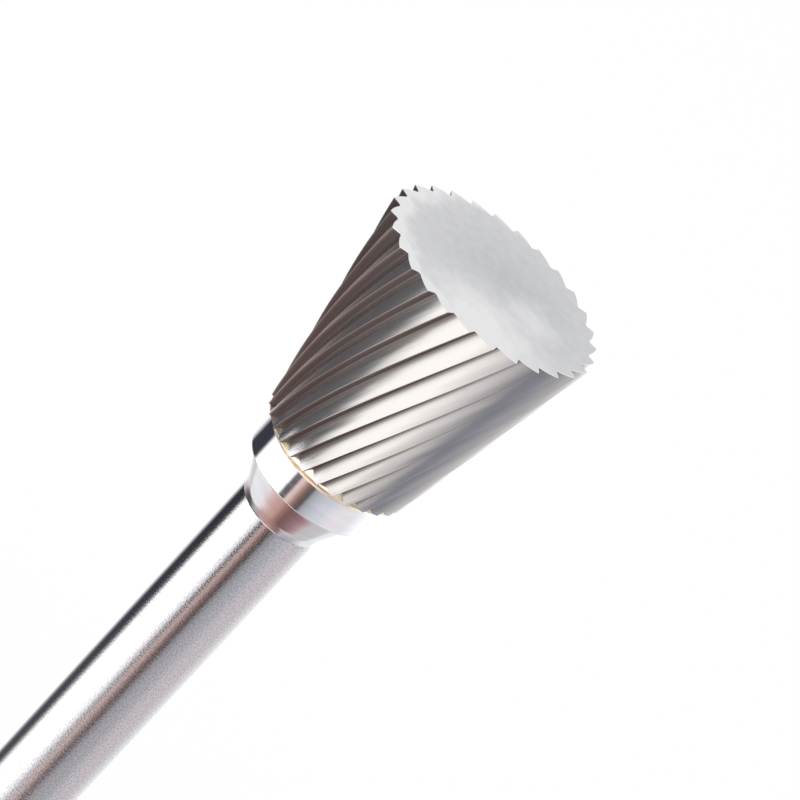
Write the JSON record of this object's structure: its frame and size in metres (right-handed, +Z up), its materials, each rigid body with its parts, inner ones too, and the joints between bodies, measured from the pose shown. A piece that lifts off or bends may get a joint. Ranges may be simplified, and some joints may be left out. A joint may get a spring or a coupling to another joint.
{
  "type": "carbide burr",
  "caption": "Inverted-cone rotary burr for a die grinder: a helically toothed carbide head with a flat end face, brazed on a turned and ground steel shank.",
  "frame": {"origin": "centre of the shank's end face, on the burr's axis, where the standing burr meets the surface", "axes": "+Z up the burr's axis, from the shank's end towards the head's end face; +X through one tooth tip at the end face"},
  "size_m": [0.016, 0.016, 0.061],
  "materials": {
    "ground_carbide": "fine ground, satin",
    "brazing_alloy": "as brazed, bright",
    "ground_steel": "ground shank, bright turned collar and neck"
  },
  "bodies": {
    "root": {"carbide_head": "ground_carbide", "braze_joint": "brazing_alloy", "steel_shank": "ground_steel"}
  },
  "joints": []
}
